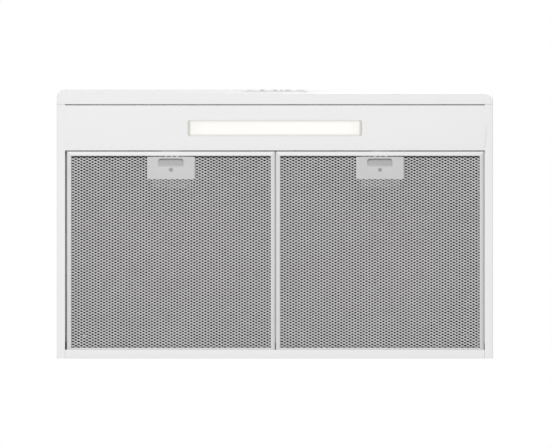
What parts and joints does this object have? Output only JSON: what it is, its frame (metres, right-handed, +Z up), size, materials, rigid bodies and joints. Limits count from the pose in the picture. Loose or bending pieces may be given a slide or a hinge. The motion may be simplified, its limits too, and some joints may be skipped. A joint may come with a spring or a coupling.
{
  "type": "under cabinet range hood",
  "caption": "Slim kitchen hood that hangs under a cabinet, with a front lip light, push buttons, latched mesh grease filters, a centrifugal blower and a damped duct collar.",
  "frame": {"origin": "middle of the flat top face, which lies against the underside of the cabinet", "axes": "+X across the hood to the right as the cook faces it, +Y to the rear wall, +Z up"},
  "size_m": [0.7588, 0.4645, 0.169],
  "materials": {
    "white_paint": "satin powder coat",
    "diffuser": "frosted, lit from behind",
    "circuit_board": "matte",
    "galvanised_sheet": "zinc spangle",
    "filter_rim": "satin",
    "filter_mesh": "expanded mesh",
    "latch_plate": "satin pressed",
    "bright_steel": "zinc plated",
    "grey_plastic": "satin",
    "black_plastic": "moulded"
  },
  "bodies": {
    "root": {"front_panel": "white_paint", "left_side_panel": "white_paint", "right_side_panel": "white_paint", "rear_panel": "white_paint", "top_panel": "white_paint", "light_panel": "white_paint", "light_lens": "diffuser", "led_board": "circuit_board", "light_housing": "galvanised_sheet", "blower_scroll": "galvanised_sheet", "blower_inlet_plate": "galvanised_sheet", "motor_bracket": "galvanised_sheet", "duct_collar": "galvanised_sheet", "wiring_box": "galvanised_sheet", "wiring_cover": "galvanised_sheet", "light_housing_nut_left": "bright_steel", "light_housing_nut_right": "bright_steel", "blower_motor": "bright_steel", "damper_pin": "bright_steel", "wiring_cover_screw": "bright_steel", "motor_bracket_screw_1": "bright_steel", "motor_bracket_screw_2": "bright_steel", "motor_bracket_screw_3": "bright_steel", "blower_screw_1": "bright_steel", "blower_screw_2": "bright_steel", "blower_screw_3": "bright_steel", "blower_screw_4": "bright_steel", "led_driver": "grey_plastic", "control_bezel": "grey_plastic", "switch_block": "black_plastic", "run_capacitor": "black_plastic", "cable_bushing": "black_plastic"},
    "left_filter": {"left_filter_frame": "filter_rim", "left_filter_lower_mesh": "filter_mesh", "left_filter_upper_mesh": "filter_mesh", "left_latch_guide": "galvanised_sheet", "left_latch_spring": "bright_steel"},
    "right_filter": {"right_filter_frame": "filter_rim", "right_filter_lower_mesh": "filter_mesh", "right_filter_upper_mesh": "filter_mesh", "right_latch_guide": "galvanised_sheet", "right_latch_spring": "bright_steel"},
    "left_latch": {"left_latch_plate": "latch_plate", "left_latch_slide": "galvanised_sheet", "left_latch_rivet": "bright_steel"},
    "right_latch": {"right_latch_plate": "latch_plate", "right_latch_slide": "galvanised_sheet", "right_latch_rivet": "bright_steel"},
    "off_button": {"button_off": "grey_plastic"},
    "low_button": {"button_low": "grey_plastic"},
    "medium_button": {"button_medium": "grey_plastic"},
    "high_button": {"button_high": "grey_plastic"},
    "light_button": {"button_light": "grey_plastic"},
    "blower_rotor": {"blower_wheel": "galvanised_sheet", "wheel_nut": "bright_steel", "motor_shaft": "bright_steel"},
    "damper": {"damper_flap": "galvanised_sheet"}
  },
  "joints": [
    {"name": "left_filter_swing", "type": "hinge", "parent": "root", "child": "left_filter", "pos_m": [-0.1837, 0.215, -0.12595], "axis": [1, 0, 0], "range_deg": [0, 75]},
    {"name": "left_latch_pull", "type": "slide", "parent": "left_filter", "child": "left_latch", "axis": [0, 1, 0], "range_m": [0, 0.006], "stiffness_N_per_m": 400, "springref_m": -0.003, "deforming": ["left_latch_spring"]},
    {"name": "right_filter_swing", "type": "hinge", "parent": "root", "child": "right_filter", "pos_m": [0.1827, 0.215, -0.12595], "axis": [1, 0, 0], "range_deg": [0, 75]},
    {"name": "right_latch_pull", "type": "slide", "parent": "right_filter", "child": "right_latch", "axis": [0, 1, 0], "range_m": [0, 0.006], "stiffness_N_per_m": 400, "springref_m": -0.003, "deforming": ["right_latch_spring"]},
    {"name": "off_button_press", "type": "slide", "parent": "root", "child": "off_button", "axis": [0, 1, 0], "range_m": [0, 0.003], "stiffness_N_per_m": 500, "springref_m": -0.002},
    {"name": "low_button_press", "type": "slide", "parent": "root", "child": "low_button", "axis": [0, 1, 0], "range_m": [0, 0.003], "stiffness_N_per_m": 500, "springref_m": -0.002},
    {"name": "medium_button_press", "type": "slide", "parent": "root", "child": "medium_button", "axis": [0, 1, 0], "range_m": [0, 0.003], "stiffness_N_per_m": 500, "springref_m": -0.002},
    {"name": "high_button_press", "type": "slide", "parent": "root", "child": "high_button", "axis": [0, 1, 0], "range_m": [0, 0.003], "stiffness_N_per_m": 500, "springref_m": -0.002},
    {"name": "light_button_press", "type": "slide", "parent": "root", "child": "light_button", "axis": [0, 1, 0], "range_m": [0, 0.003], "stiffness_N_per_m": 500, "springref_m": -0.002},
    {"name": "blower_spin", "type": "hinge", "parent": "root", "child": "blower_rotor", "pos_m": [-0.01, -0.01, -0.045], "axis": [0, 0, 1], "continuous": true},
    {"name": "damper_swing", "type": "hinge", "parent": "root", "child": "damper", "pos_m": [0, 0.12905, 0.008], "axis": [1, 0, 0], "range_deg": [0, 75]}
  ]
}
